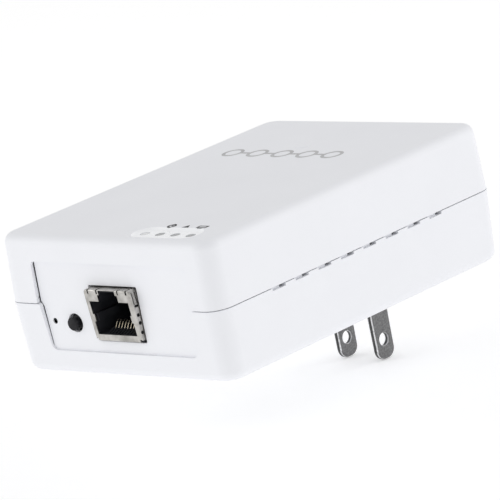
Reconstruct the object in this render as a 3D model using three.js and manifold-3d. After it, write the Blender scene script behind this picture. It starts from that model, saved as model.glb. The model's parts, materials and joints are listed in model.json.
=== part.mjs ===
import * as THREE from 'three';
import { mergeVertices } from 'three/addons/utils/BufferGeometryUtils.js';
import Module from 'manifold-3d';

const wasm = await Module();
wasm.setup();

// A network adapter that plugs straight into a wall outlet. Millimetres.
// +Z points away from the wall, -Y towards the network socket, and the two blades run along -Z.
// The origin lies on the face that meets the outlet, midway between the blades.

// Housing
const WIDTH = 73;
const LENGTH = 101;
const HEIGHT = 35;
const PEDESTAL_HEIGHT = 5.3;
const PLUG_TO_REAR = 18.9;
const SPLIT_ABOVE_UNDERSIDE = 18;
const SPLIT_GAP = 0.3;
const TOP_DRAFT = { side: 0.35, end: 0.5 };
const BOTTOM_DRAFT = { side: 0.65, end: 0.85 };
const PLAN_CORNER = 5;
const EDGE_FILLET = 2.4;
const WALL = 2;

const UNDERSIDE = PEDESTAL_HEIGHT;
const SPLIT = UNDERSIDE + SPLIT_ABOVE_UNDERSIDE;
const TOP = UNDERSIDE + HEIGHT;
const CEILING = TOP - WALL;
const REAR = PLUG_TO_REAR;
const FRONT = REAR - LENGTH;
const MIDDLE = (FRONT + REAR) / 2;

// Lap joint between the two covers
const LIP_INSET = 1.1;
const LIP_RISE = 1.2;

// Clearances: between fitted pieces, between pieces that rest on each other, and round a screw
const GAP = 0.3;
const SEAT = 0.1;
const SCREW_CLEARANCE = 0.2;

// Recess of the port panel in the front wall, a little to the right of the housing's middle:
// half widths at its bottom, at the split and at its top
const PANEL_X = 1.05;
const PANEL_HALF_BOTTOM = 25.2;
const PANEL_HALF_SPLIT = 26.3;
const PANEL_HALF_TOP = 26.4;
const PANEL_BOTTOM = UNDERSIDE + 6.1;
const PANEL_TOP = UNDERSIDE + 28.7;
const PANEL_DEPTH = 1.2;
const PANEL_THICKNESS = 1.6;
const PANEL_FLANGE = 0.9;
const PANEL_CORNER = 1.2;
const PANEL_LIP = 1;

// Vent slots in the rim of the lower cover
const VENT_COUNT = 8;
const VENT_PITCH = 8.156;
const VENT_LENGTH = 4.6;
const VENT_HEIGHT = 0.65;
const VENT_FIRST = MIDDLE - 29.35;

// Status lights
const LIGHT_COUNT = 4;
const LIGHT_FIRST_X = 8.9;
const LIGHT_PITCH = 5.13;
const LIGHT_Y = MIDDLE - 42.7;
const LIGHT_RADIUS = 1.2;
const LIGHT_CLEARANCE = 0.15;
const LIGHT_SOURCE_Y = MIDDLE - 29;
const LIGHT_RAIL_HALF = 1;
const LIGHT_RAIL_BOTTOM = 3;
const LIGHT_RAIL_TOP = 5;
const RECESS_LEFT = 6.5;
const RECESS_RIGHT = 28.2;
const RECESS_RADIUS = 4;
const RECESS_Y = MIDDLE - 43.6;
const RECESS_DEPTH = 1;

// Circuit board
const BOARD_THICKNESS = 1.6;
const BOARD_BOTTOM = UNDERSIDE + 7.7;
const BOARD_TOP = BOARD_BOTTOM + BOARD_THICKNESS;
const BOARD_HALF_WIDTH = 33.5;
const BOARD_FRONT = FRONT + 3.3;
const BOARD_REAR = REAR - 4.5;
const BOARD_CORNER = 3;
const BOARD_HOLE_RADIUS = 1.7;
const ISOLATION_SLOT = { left: -20, right: -6, front: MIDDLE + 0.5, rear: MIDDLE + 2 };

// Cover screws
const SCREW_X = 29.5;
const SCREW_FRONT_Y = MIDDLE - 40.5;
const SCREW_REAR_Y = MIDDLE + 41;
const SCREW_RADIUS = 1.3;
const SCREW_LENGTH = 14.6;
const SCREW_HEAD_RADIUS = 2.5;
const SCREW_HEAD_HEIGHT = 1.9;
const SCREW_SEAT = UNDERSIDE + 4.2;
const BOSS_RADIUS = 4;
const POST_RADIUS = 3.25;

// Blank rating label on the underside
const LABEL = { width: 44, length: 30, corner: 1.5, thickness: 0.15, y: MIDDLE - 10 };

// Plug
const BLADE_SPACING = 12.7;
const BLADE_THICKNESS = 1.5;
const BLADE_WIDTH = 6.35;
const BLADE_REACH = 16.7;
const BLADE_TIP_RADIUS = 2.2;
const BLADE_HOLE_RADIUS = 1.6;
const BLADE_HOLE_FROM_FACE = 11.65;
const SHOULDER_WIDTH = 9;
const TAB_WIDTH = 4;
const TAB_TOP = 10.5;
const PEDESTAL_WIDTH = 30;
const PEDESTAL_LENGTH = 22;
const PEDESTAL_CORNER = 4;
const PEDESTAL_WALL = 2.5;
const SHOULDER_HEIGHT = 1.5;
const CARRIER_THICKNESS = 2.8;
const CARRIER_CORNER = 1.7;
const CARRIER_SCREW_Y = 6.2;
const CARRIER_SCREW = { headRadius: 1.9, headHeight: 1.2, radius: 1, length: 6.2 };
const CARRIER_POST = { radius: 2.5, height: 2.5, boreDepth: 4, boreBottom: 1.2 };
const LEAD_RADIUS = 0.85;

// Network socket
const JACK_WIDTH = 16;
const JACK_HEIGHT = 13.4;
const JACK_DEPTH = 18;
const JACK_X = 0.7;
const JACK_FRONT = FRONT - 0.3;
const JACK_METAL = 0.3;
const CAVITY_DEPTH = 12.6;
const CONTACT_COUNT = 8;
const CONTACT_PITCH = 1.02;
const CONTACT_WIDTH = 0.42;
const CONTACT_THICKNESS = 0.35;
const PANEL_JACK_SIDE = 0.4;
const PANEL_JACK_ABOVE = 0.5;

// The socket's mouth from its centre: half widths of the plug's slot, the step and the latch's
// keyway, then the heights of the slot's floor, its shoulder, the step's top and the keyway's top
const MOUTH = { wide: 5.95, step: 3.1, key: 2.35, floor: -4.6, shoulder: 3.1, stepTop: 5, keyTop: 6.1 };

// Push switches
const PAIR_X = -15;
const PAIR_AXIS = 3.9;
const RESET_X = -21.7;
const RESET_AXIS = 4.1;
const PLUNGER_TO_CASE_BACK = 2.2;
const PAIR_HOLE_RADIUS = 2.5;
const RESET_HOLE_RADIUS = 0.75;
const PAIR_AXIS_Z = BOARD_TOP + PAIR_AXIS;
const RESET_AXIS_Z = BOARD_TOP + RESET_AXIS;

const plasticWhite = { color: 0xe9eaee, roughness: 0.45, metalness: 0 };
const plasticBlack = { color: 0x18181a, roughness: 0.5, metalness: 0 };
const plasticClear = { color: 0xdfe6ea, roughness: 0.15, metalness: 0 };
const nickel = { color: 0x9b9a98, roughness: 0.35, metalness: 1 };
const tinnedSteel = { color: 0xbdb8b2, roughness: 0.3, metalness: 1 };
const gold = { color: 0xd9b25a, roughness: 0.3, metalness: 1 };
const zinc = { color: 0xa8a9a6, roughness: 0.4, metalness: 1 };
const laminate = { color: 0x1f5a34, roughness: 0.5, metalness: 0 };
const epoxyBlue = { color: 0x2a5fa8, roughness: 0.4, metalness: 0 };
const filmYellow = { color: 0xd9b42c, roughness: 0.5, metalness: 0 };
const ferrite = { color: 0x3a3a3c, roughness: 0.6, metalness: 0 };
const copper = { color: 0xb2662e, roughness: 0.35, metalness: 1 };
const tapeYellow = { color: 0xe0c040, roughness: 0.4, metalness: 0 };
const aluminium = { color: 0xb4b7ba, roughness: 0.4, metalness: 1 };
const silicone = { color: 0x8e9aa6, roughness: 0.8, metalness: 0 };
const paper = { color: 0xdcdcda, roughness: 0.7, metalness: 0 };
const wireBlack = { color: 0x202022, roughness: 0.5, metalness: 0 };
const wireWhite = { color: 0xe4e4e2, roughness: 0.5, metalness: 0 };

// ---- Solids and shapes -------------------------------------------------------------------------

function solid(geometry) {
  const bare = geometry.clone();
  bare.deleteAttribute('normal');
  bare.deleteAttribute('uv');
  const merged = mergeVertices(bare);
  const vertProperties = Float32Array.from(merged.attributes.position.array);
  const triVerts = Uint32Array.from(merged.index.array);
  return new wasm.Manifold(new wasm.Mesh({ numProp: 3, vertProperties, triVerts }));
}

function geometryOf(manifold) {
  const { vertProperties, triVerts } = manifold.getMesh();
  const geometry = new THREE.BufferGeometry();
  geometry.setAttribute('position', new THREE.BufferAttribute(vertProperties, 3));
  geometry.setIndex(new THREE.BufferAttribute(triVerts, 1));
  geometry.computeVertexNormals();
  return geometry;
}

function cut(base, tools) {
  return tools.reduce((rest, tool) => rest.subtract(solid(tool)), base);
}

function join(base, pieces) {
  return pieces.reduce((sum, piece) => sum.add(solid(piece)), base);
}

function place(group, name, geometry, finish, position = [0, 0, 0]) {
  const mesh = new THREE.Mesh(geometry, new THREE.MeshStandardMaterial(finish));
  mesh.name = name;
  mesh.position.set(...position);
  group.add(mesh);
}

// A box from its lowest to its highest corner.
function boxBetween(low, high) {
  const size = high.map((value, axis) => value - low[axis]);
  const centre = high.map((value, axis) => (value + low[axis]) / 2);
  return new THREE.BoxGeometry(...size).translate(...centre);
}

// A round bar standing on z = 0.
function standingRod(radius, length, sides = 16) {
  const rod = new THREE.CylinderGeometry(radius, radius, length, sides);
  return rod.rotateX(Math.PI / 2).translate(0, 0, length / 2);
}

// A round bar from y = 0 towards +Y.
function lyingRod(radius, length, sides = 16) {
  return new THREE.CylinderGeometry(radius, radius, length, sides).translate(0, length / 2, 0);
}

// A closed outline through the corner points, each corner rounded off.
function roundedPolygon(corners, radius) {
  const points = corners.map(([x, y]) => new THREE.Vector2(x, y));
  const shape = new THREE.Shape();
  points.forEach((corner, i) => {
    const before = points[(i + points.length - 1) % points.length];
    const after = points[(i + 1) % points.length];
    const start = corner.clone().add(before.clone().sub(corner).setLength(radius));
    const end = corner.clone().add(after.clone().sub(corner).setLength(radius));
    if (i === 0) shape.moveTo(start.x, start.y);
    else shape.lineTo(start.x, start.y);
    shape.quadraticCurveTo(corner.x, corner.y, end.x, end.y);
  });
  shape.closePath();
  return shape;
}

function roundedRectangle(width, height, radius) {
  const x = width / 2 - radius;
  const y = height / 2 - radius;
  const shape = new THREE.Shape();
  shape.absarc(x, y, radius, 0, Math.PI / 2);
  shape.absarc(-x, y, radius, Math.PI / 2, Math.PI);
  shape.absarc(-x, -y, radius, Math.PI, 1.5 * Math.PI);
  shape.absarc(x, -y, radius, 1.5 * Math.PI, 2 * Math.PI);
  shape.closePath();
  return shape;
}

function rectangle(width, height) {
  const x = width / 2;
  const y = height / 2;
  return new THREE.Shape([[x, y], [-x, y], [-x, -y], [x, -y]].map(([u, v]) => new THREE.Vector2(u, v)));
}

// An outline pushed straight up from z = 0.
function extrudeUp(shape, depth, curveSegments = 3) {
  return new THREE.ExtrudeGeometry(shape, { depth, bevelEnabled: false, curveSegments });
}

// The same, with its outline's top and bottom edges rounded.
function extrudeSoft(shape, depth, edge, curveSegments = 3) {
  const geometry = new THREE.ExtrudeGeometry(shape, {
    depth: depth - 2 * edge,
    bevelThickness: edge,
    bevelSize: edge,
    bevelOffset: -edge,
    bevelSegments: 2,
    curveSegments,
  });
  return geometry.translate(0, 0, edge);
}

// An outline drawn in X and Z, pushed from y = 0 towards +Y.
function extrudeBack(shape, depth) {
  return extrudeUp(shape, depth).rotateX(Math.PI / 2).translate(0, depth, 0);
}

// An outline drawn in Y and Z, pushed both ways from x = 0.
function extrudeAcross(shape, width) {
  return extrudeUp(shape, width).rotateX(Math.PI / 2).rotateZ(Math.PI / 2).translate(-width / 2, 0, 0);
}

// A round piece standing on z = 0 from its half outline of radius and height.
function turned(profile, sides = 16) {
  const points = profile.map(([radius, height]) => new THREE.Vector2(radius, height));
  return new THREE.LatheGeometry(points, sides).rotateX(Math.PI / 2);
}

// ---- Housing -----------------------------------------------------------------------------------

// The rounded block inside a cover at a distance from its outer skin. It is widest at the split
// and narrows by the draft towards the face at farZ; it runs a little past the split.
function draftedBlock(inset, farZ) {
  const overrun = 6;
  const fillet = Math.max(EDGE_FILLET - inset, 0.6);
  const depth = Math.abs(farZ - SPLIT) - inset + overrun;
  const outline = roundedRectangle(WIDTH - 2 * inset, LENGTH - 2 * inset, PLAN_CORNER - 0.7 * inset);
  const geometry = extrudeSoft(outline, depth, fillet);
  geometry.translate(0, 0, farZ > SPLIT ? SPLIT - overrun : farZ + inset);
  const draft = farZ > SPLIT ? TOP_DRAFT : BOTTOM_DRAFT;
  const points = geometry.attributes.position;
  for (let i = 0; i < points.count; i += 1) {
    const reach = (points.getZ(i) - SPLIT) / (farZ - SPLIT);
    points.setX(i, points.getX(i) * (1 - (2 * draft.side * reach) / WIDTH));
    points.setY(i, points.getY(i) * (1 - (2 * draft.end * reach) / LENGTH));
  }
  return geometry.translate(0, MIDDLE, 0);
}

// Everything on one side of a level plane.
function halfSpace(level, side) {
  const far = 100;
  const low = side > 0 ? level : -far;
  const high = side > 0 ? far : level;
  return boxBetween([-far, FRONT - far, low], [far, REAR + far, high]);
}

function panelOutline(grow) {
  const right = [
    [PANEL_HALF_BOTTOM + grow, PANEL_BOTTOM - grow],
    [PANEL_HALF_SPLIT + grow, SPLIT],
    [PANEL_HALF_TOP + grow, PANEL_TOP + grow],
  ];
  const left = right.map(([x, z]) => [-x, z]).reverse();
  return roundedPolygon([...right, ...left].map(([x, z]) => [PANEL_X + x, z]), PANEL_CORNER);
}

// The opening in the front wall, and the pocket behind it that takes the panel's edge.
function panelCuts() {
  const opening = extrudeBack(panelOutline(0), 2 * WALL).translate(0, FRONT - WALL, 0);
  const pocket = extrudeBack(panelOutline(PANEL_FLANGE + GAP), WALL).translate(0, FRONT + PANEL_LIP, 0);
  return [opening, pocket];
}

function lightX(index) {
  return LIGHT_FIRST_X + index * LIGHT_PITCH;
}

function recess() {
  const outline = roundedRectangle(RECESS_RIGHT - RECESS_LEFT, 2 * RECESS_RADIUS, RECESS_RADIUS - 0.01);
  const middle = (RECESS_LEFT + RECESS_RIGHT) / 2;
  return extrudeUp(outline, WALL).translate(middle, RECESS_Y, TOP - RECESS_DEPTH);
}

function screwPlaces() {
  return [SCREW_FRONT_Y, SCREW_REAR_Y].flatMap((y) => [[-SCREW_X, y], [SCREW_X, y]]);
}

function topCover() {
  const skin = solid(draftedBlock(0, TOP));
  const lights = Array.from({ length: LIGHT_COUNT }, (_, i) =>
    standingRod(LIGHT_RADIUS + LIGHT_CLEARANCE, 2 * WALL)
      .translate(lightX(i), LIGHT_Y, CEILING - WALL / 2));
  const rebateTop = halfSpace(SPLIT + LIP_RISE + GAP, 1);
  const rebate = solid(draftedBlock(LIP_INSET - GAP, TOP)).subtract(solid(rebateTop));
  const hollow = cut(skin, [draftedBlock(WALL, TOP), halfSpace(SPLIT + SPLIT_GAP / 2, -1), recess()]);
  const shell = hollow.subtract(rebate);
  const postBottom = BOARD_TOP + SEAT;
  const posts = screwPlaces().map(([x, y]) =>
    standingRod(POST_RADIUS, CEILING + WALL / 2 - postBottom).translate(x, y, postBottom));
  const bores = screwPlaces().map(([x, y]) =>
    standingRod(SCREW_RADIUS + SCREW_CLEARANCE, SCREW_LENGTH).translate(x, y, SCREW_SEAT));
  return cut(join(shell, posts), [...bores, ...lights, ...panelCuts()]);
}

// A slot through the rim and lip on both sides.
function vent(index) {
  const y = VENT_FIRST + index * VENT_PITCH;
  const low = [-WIDTH, y - VENT_LENGTH / 2, SPLIT - VENT_HEIGHT];
  return boxBetween(low, [WIDTH, y + VENT_LENGTH / 2, SPLIT]);
}

// The ring that stands up from the lower cover's rim into the upper cover's rebate.
function lip() {
  return cut(solid(draftedBlock(LIP_INSET, TOP)), [
    draftedBlock(WALL, TOP),
    halfSpace(SPLIT - LIP_INSET, -1),
    halfSpace(SPLIT + LIP_RISE, 1),
  ]);
}

// Two openings that the blades pass through, centred on z = 0 of a plate.
function bladeOpenings(width, plate) {
  return [-1, 1].map((side) => new THREE.BoxGeometry(
    BLADE_THICKNESS + 2 * SEAT,
    width + 2 * SEAT,
    4 * plate,
  ).translate((side * BLADE_SPACING) / 2, 0, 0));
}

function pedestal() {
  const outline = roundedRectangle(PEDESTAL_WIDTH, PEDESTAL_LENGTH, PEDESTAL_CORNER);
  return extrudeUp(outline, PEDESTAL_HEIGHT + WALL / 2);
}

function pedestalPocket() {
  const outline = roundedRectangle(
    PEDESTAL_WIDTH - 2 * WALL,
    PEDESTAL_LENGTH - 2 * WALL,
    PEDESTAL_CORNER - WALL,
  );
  return extrudeUp(outline, PEDESTAL_HEIGHT + WALL).translate(0, 0, PEDESTAL_WALL);
}

function bottomCover() {
  const shell = cut(solid(draftedBlock(0, UNDERSIDE)), [
    draftedBlock(WALL, UNDERSIDE),
    halfSpace(SPLIT - SPLIT_GAP / 2, 1),
  ]);
  const bossTop = BOARD_BOTTOM - SEAT;
  const bosses = screwPlaces().map(([x, y]) =>
    standingRod(BOSS_RADIUS, bossTop - UNDERSIDE - WALL / 2).translate(x, y, UNDERSIDE + WALL / 2));
  const counterbores = screwPlaces().map(([x, y]) =>
    standingRod(SCREW_HEAD_RADIUS + GAP, SCREW_SEAT - UNDERSIDE + WALL).translate(x, y, UNDERSIDE - WALL));
  const bores = screwPlaces().map(([x, y]) =>
    standingRod(SCREW_RADIUS + SCREW_CLEARANCE, 2 * BOSS_RADIUS).translate(x, y, SCREW_SEAT - SEAT));
  const bladeSlots = bladeOpenings(BLADE_WIDTH, PEDESTAL_WALL);
  const vents = Array.from({ length: VENT_COUNT }, (_, i) => vent(i));
  const carrierPosts = [-1, 1].map((side) =>
    standingRod(CARRIER_POST.radius, CARRIER_POST.height)
      .translate(0, side * CARRIER_SCREW_Y, PEDESTAL_WALL - 1));
  const carrierBores = [-1, 1].map((side) =>
    standingRod(CARRIER_SCREW.radius + SCREW_CLEARANCE, CARRIER_POST.boreDepth)
      .translate(0, side * CARRIER_SCREW_Y, CARRIER_POST.boreBottom));
  const plugBase = join(cut(join(shell.add(lip()), [pedestal()]), [pedestalPocket()]), carrierPosts);
  const cuts = [...counterbores, ...bores, ...bladeSlots, ...vents, ...carrierBores, ...panelCuts()];
  return cut(join(plugBase, bosses), cuts);
}

function portPanel() {
  const plate = extrudeBack(panelOutline(PANEL_FLANGE), PANEL_THICKNESS);
  const jackCut = boxBetween(
    [JACK_X - JACK_WIDTH / 2 - PANEL_JACK_SIDE, -WALL, BOARD_TOP - PANEL_JACK_SIDE],
    [JACK_X + JACK_WIDTH / 2 + PANEL_JACK_SIDE, 2 * WALL, BOARD_TOP + JACK_HEIGHT + PANEL_JACK_ABOVE],
  );
  const pairHole = lyingRod(PAIR_HOLE_RADIUS, 4 * WALL).translate(PAIR_X, -WALL, PAIR_AXIS_Z);
  const resetHole = lyingRod(RESET_HOLE_RADIUS, 4 * WALL).translate(RESET_X, -WALL, RESET_AXIS_Z);
  return cut(solid(plate), [jackCut, pairHole, resetHole]);
}

// Four clear rods that carry the light up from the board and forward to the windows, on one rail.
function lightGuide() {
  const lensTop = TOP - RECESS_DEPTH - SEAT;
  const section = new THREE.Shape().absarc(0, 0, LIGHT_RADIUS, 0, 2 * Math.PI);
  const rods = Array.from({ length: LIGHT_COUNT }, (_, i) => {
    const route = new THREE.CatmullRomCurve3([
      new THREE.Vector3(lightX(i), LIGHT_SOURCE_Y, BOARD_TOP + 1.3),
      new THREE.Vector3(lightX(i), LIGHT_SOURCE_Y, BOARD_TOP + 14.5),
      new THREE.Vector3(lightX(i), LIGHT_Y, CEILING - 3),
      new THREE.Vector3(lightX(i), LIGHT_Y, lensTop),
    ], false, 'catmullrom', 0.15);
    return new THREE.ExtrudeGeometry(section, { steps: 8, curveSegments: 4, extrudePath: route });
  });
  const half = LIGHT_RAIL_HALF;
  const rail = boxBetween(
    [lightX(0) - half, LIGHT_SOURCE_Y - half, BOARD_TOP + LIGHT_RAIL_BOTTOM],
    [lightX(LIGHT_COUNT - 1) + half, LIGHT_SOURCE_Y + half, BOARD_TOP + LIGHT_RAIL_TOP],
  );
  return join(solid(rail), rods);
}

function coverScrew() {
  return turned([
    [0, 0],
    [SCREW_HEAD_RADIUS, 0],
    [SCREW_HEAD_RADIUS, SCREW_HEAD_HEIGHT],
    [SCREW_RADIUS, SCREW_HEAD_HEIGHT],
    [SCREW_RADIUS, SCREW_LENGTH],
    [0, SCREW_LENGTH],
  ]);
}

// ---- Plug --------------------------------------------------------------------------------------

// A blade with rounded tip, a shoulder seated on the pedestal floor and a tab for the wire.
function blade() {
  const half = BLADE_WIDTH / 2;
  const tip = -BLADE_REACH;
  const seat = PEDESTAL_WALL + SEAT;
  const shoulderTop = seat + SHOULDER_HEIGHT;
  const outline = new THREE.Shape();
  outline.moveTo(-half + BLADE_TIP_RADIUS, tip);
  outline.lineTo(half - BLADE_TIP_RADIUS, tip);
  outline.quadraticCurveTo(half, tip, half, tip + BLADE_TIP_RADIUS);
  outline.lineTo(half, seat);
  outline.lineTo(SHOULDER_WIDTH / 2, seat);
  outline.lineTo(SHOULDER_WIDTH / 2, shoulderTop);
  outline.lineTo(TAB_WIDTH / 2, shoulderTop);
  outline.lineTo(TAB_WIDTH / 2, TAB_TOP);
  outline.lineTo(-TAB_WIDTH / 2, TAB_TOP);
  outline.lineTo(-TAB_WIDTH / 2, shoulderTop);
  outline.lineTo(-SHOULDER_WIDTH / 2, shoulderTop);
  outline.lineTo(-SHOULDER_WIDTH / 2, seat);
  outline.lineTo(-half, seat);
  outline.lineTo(-half, tip + BLADE_TIP_RADIUS);
  outline.quadraticCurveTo(-half, tip, -half + BLADE_TIP_RADIUS, tip);
  const hole = new THREE.Path().absarc(0, -BLADE_HOLE_FROM_FACE, BLADE_HOLE_RADIUS, 0, 2 * Math.PI);
  outline.holes.push(hole);
  return extrudeAcross(outline, BLADE_THICKNESS);
}

function bladeCarrier() {
  const outline = roundedRectangle(
    PEDESTAL_WIDTH - 2 * (WALL + GAP),
    PEDESTAL_LENGTH - 2 * (WALL + GAP),
    CARRIER_CORNER,
  );
  const screwHoles = [-1, 1].map((side) =>
    standingRod(CARRIER_SCREW.radius + GAP, 2 * CARRIER_THICKNESS)
      .translate(0, side * CARRIER_SCREW_Y, -CARRIER_THICKNESS / 2));
  const plate = solid(extrudeUp(outline, CARRIER_THICKNESS));
  return cut(plate, [...bladeOpenings(TAB_WIDTH, CARRIER_THICKNESS), ...screwHoles]);
}

// Turned upside down, with its head on top of the carrier.
function carrierScrew() {
  const { headRadius, headHeight, radius, length } = CARRIER_SCREW;
  return turned([
    [0, 0],
    [headRadius, 0],
    [headRadius, headHeight],
    [radius, headHeight],
    [radius, length],
    [0, length],
  ]).rotateX(Math.PI);
}

// An insulated lead from a blade's tab to the underside of the board.
function lead(side) {
  const x = (side * BLADE_SPACING) / 2;
  const section = new THREE.Shape().absarc(0, 0, LEAD_RADIUS, 0, 2 * Math.PI);
  const tabMiddle = TAB_TOP - 1.6;
  const route = new THREE.CatmullRomCurve3([
    new THREE.Vector3(x, -TAB_WIDTH / 2 - SEAT, tabMiddle),
    new THREE.Vector3(x, -6, tabMiddle + 0.2),
    new THREE.Vector3(x + side, -10.5, tabMiddle + 0.9),
    new THREE.Vector3(x + side, -12, BOARD_BOTTOM - 2 * GAP),
  ]);
  return new THREE.ExtrudeGeometry(section, { steps: 8, curveSegments: 4, extrudePath: route });
}

function plug() {
  const group = new THREE.Group();
  const carrierBottom = PEDESTAL_WALL + SHOULDER_HEIGHT + 2 * SEAT;
  const carrierTop = carrierBottom + CARRIER_THICKNESS;
  place(group, 'blade_left', blade(), nickel, [-BLADE_SPACING / 2, 0, 0]);
  place(group, 'blade_right', blade(), nickel, [BLADE_SPACING / 2, 0, 0]);
  place(group, 'blade_carrier', geometryOf(bladeCarrier()), plasticBlack, [0, 0, carrierBottom]);
  [-1, 1].forEach((side, i) => {
    const head = [0, side * CARRIER_SCREW_Y, carrierTop + CARRIER_SCREW.headHeight + SEAT];
    place(group, `carrier_screw_${i + 1}`, carrierScrew(), zinc, head);
  });
  place(group, 'line_wire', lead(1), wireBlack);
  place(group, 'neutral_wire', lead(-1), wireWhite);
  return group;
}

// ---- Network socket ----------------------------------------------------------------------------

// The mouth for the cable plug, centred on the jack's front face and grown by a margin.
function mouthOutline(margin) {
  const wide = MOUTH.wide + margin;
  const step = MOUTH.step + margin;
  const key = MOUTH.key + margin;
  const floor = MOUTH.floor - margin;
  const shoulder = MOUTH.shoulder + margin;
  const stepTop = MOUTH.stepTop + margin;
  const right = [
    [wide, floor],
    [wide, shoulder],
    [step, shoulder],
    [step, stepTop],
    [key, stepTop],
    [key, MOUTH.keyTop],
  ];
  const left = right.map(([x, z]) => [-x, z]).reverse();
  return new THREE.Shape([...right, ...left].map(([x, z]) => new THREE.Vector2(x, z)));
}

// Folded sheet around the socket, open underneath.
function jackShield() {
  const outer = new THREE.BoxGeometry(JACK_WIDTH, JACK_DEPTH, JACK_HEIGHT).translate(0, JACK_DEPTH / 2, 0);
  const inner = boxBetween(
    [-JACK_WIDTH / 2 + JACK_METAL, JACK_METAL, -JACK_HEIGHT],
    [JACK_WIDTH / 2 - JACK_METAL, JACK_DEPTH - JACK_METAL, JACK_HEIGHT / 2 - JACK_METAL],
  );
  const mouth = extrudeBack(mouthOutline(GAP / 2), WALL).translate(0, -WALL / 2, 0);
  return cut(solid(outer), [inner, mouth]);
}

function jackHousing() {
  const skin = JACK_METAL + SEAT;
  const body = boxBetween(
    [-JACK_WIDTH / 2 + skin, skin, -JACK_HEIGHT / 2 + SEAT],
    [JACK_WIDTH / 2 - skin, JACK_DEPTH - skin, JACK_HEIGHT / 2 - skin],
  );
  const cavity = extrudeBack(mouthOutline(0), CAVITY_DEPTH).translate(0, -GAP, 0);
  const halfWell = (CONTACT_COUNT * CONTACT_PITCH) / 2 + 0.5;
  const contactWell = boxBetween(
    [-halfWell, CAVITY_DEPTH - 1, -JACK_HEIGHT],
    [halfWell, CAVITY_DEPTH + 2.6, MOUTH.floor + 4],
  );
  return cut(solid(body), [cavity, contactWell]);
}

// A spring contact: it slopes up from the cavity floor, then turns down to its pin in the board.
function jackContact() {
  const thickness = CONTACT_THICKNESS;
  const front = 3.4;
  const bend = CAVITY_DEPTH - 1;
  const back = CAVITY_DEPTH + 1.4;
  const low = MOUTH.floor + 0.2;
  const high = MOUTH.floor + 2.6;
  const foot = -JACK_HEIGHT / 2 + SEAT;
  const points = [
    [front, low],
    [bend, high],
    [back - thickness, high],
    [back - thickness, foot],
    [back, foot],
    [back, high + thickness],
    [bend - 0.1, high + thickness],
    [front, low + thickness],
  ];
  return extrudeAcross(new THREE.Shape(points.map(([y, z]) => new THREE.Vector2(y, z))), CONTACT_WIDTH);
}

function networkSocket() {
  const group = new THREE.Group();
  group.position.set(JACK_X, JACK_FRONT, BOARD_TOP + JACK_HEIGHT / 2);
  place(group, 'jack_shield', geometryOf(jackShield()), tinnedSteel);
  place(group, 'jack_housing', geometryOf(jackHousing()), plasticBlack);
  for (let i = 0; i < CONTACT_COUNT; i += 1) {
    const x = (i - (CONTACT_COUNT - 1) / 2) * CONTACT_PITCH;
    place(group, `jack_contact_${i + 1}`, jackContact(), gold, [x, 0, 0]);
  }
  return group;
}

// ---- Push switches -----------------------------------------------------------------------------

// The switch's axis is along Y at x = z = 0; its board side is at z = -axis.
function switchCase({ width, height, depth, axis, bore }) {
  const body = boxBetween([-width / 2, 0, -axis + SEAT], [width / 2, depth, height - axis]);
  return cut(solid(body), [lyingRod(bore, depth - 1).translate(0, -0.5, 0)]);
}

// A bent metal strap over the switch, with a leg on each side.
function switchFrame({ width, height, depth, axis }) {
  const sheet = 0.3;
  const inner = width / 2 + SEAT;
  const outer = inner + sheet;
  const top = height - axis + SEAT;
  const foot = -axis + SEAT;
  const strap = new THREE.Shape([
    [-outer, foot], [-inner, foot], [-inner, top], [inner, top],
    [inner, foot], [outer, foot], [outer, top + sheet], [-outer, top + sheet],
  ].map(([x, z]) => new THREE.Vector2(x, z)));
  return extrudeBack(strap, depth - 1).translate(0, 0.5, 0);
}

// A round button with a slightly domed face, its face at y = 0.
function plunger(radius, length) {
  const crown = 0.35;
  return turned([
    [0, 0],
    [radius, 0],
    [radius, length - crown],
    [0.9 * radius, length - crown / 3],
    [0.6 * radius, length],
    [0, length],
  ], 24).rotateX(Math.PI / 2).translate(0, length, 0);
}

function pushSwitch(name, button, x, sizes) {
  const group = new THREE.Group();
  group.position.set(x, sizes.caseFront, BOARD_TOP + sizes.axis);
  place(group, `${name}_switch_case`, geometryOf(switchCase(sizes)), plasticBlack);
  if (sizes.strap) place(group, `${name}_switch_frame`, switchFrame(sizes), tinnedSteel);
  const length = sizes.reach + sizes.depth - PLUNGER_TO_CASE_BACK;
  place(group, button, plunger(sizes.plunger, length), plasticBlack, [0, -sizes.reach, 0]);
  return group;
}

// Reach is how far the plunger stands out of its case.
const pairSizes = {
  width: 6.2, height: 7, depth: 4.2, axis: PAIR_AXIS, strap: true,
  plunger: 1.75, bore: 2.05, reach: 3.5, caseFront: FRONT + 3.3,
};
const resetSizes = {
  width: 4.5, height: 6.2, depth: 3.8, axis: RESET_AXIS, strap: false,
  plunger: 1.2, bore: 1.5, reach: 0.5, caseFront: FRONT + 4.1,
};

// ---- Circuit board -----------------------------------------------------------------------------

function mainBoard() {
  const length = BOARD_REAR - BOARD_FRONT;
  const outline = roundedRectangle(2 * BOARD_HALF_WIDTH, length, BOARD_CORNER);
  const plate = extrudeUp(outline, BOARD_THICKNESS)
    .translate(0, (BOARD_FRONT + BOARD_REAR) / 2, -BOARD_THICKNESS);
  const below = -2 * BOARD_THICKNESS;
  const holes = screwPlaces().map(([x, y]) =>
    standingRod(BOARD_HOLE_RADIUS, 3 * BOARD_THICKNESS).translate(x, y, below));
  const { left, right, front, rear } = ISOLATION_SLOT;
  const isolationSlot = boxBetween([left, front, below], [right, rear, BOARD_THICKNESS]);
  return cut(solid(plate), [...holes, isolationSlot]);
}

// A moulded package with slightly rounded edges.
function chip(width, length, height) {
  return extrudeSoft(rectangle(width, length), height, 0.12, 2);
}

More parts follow.
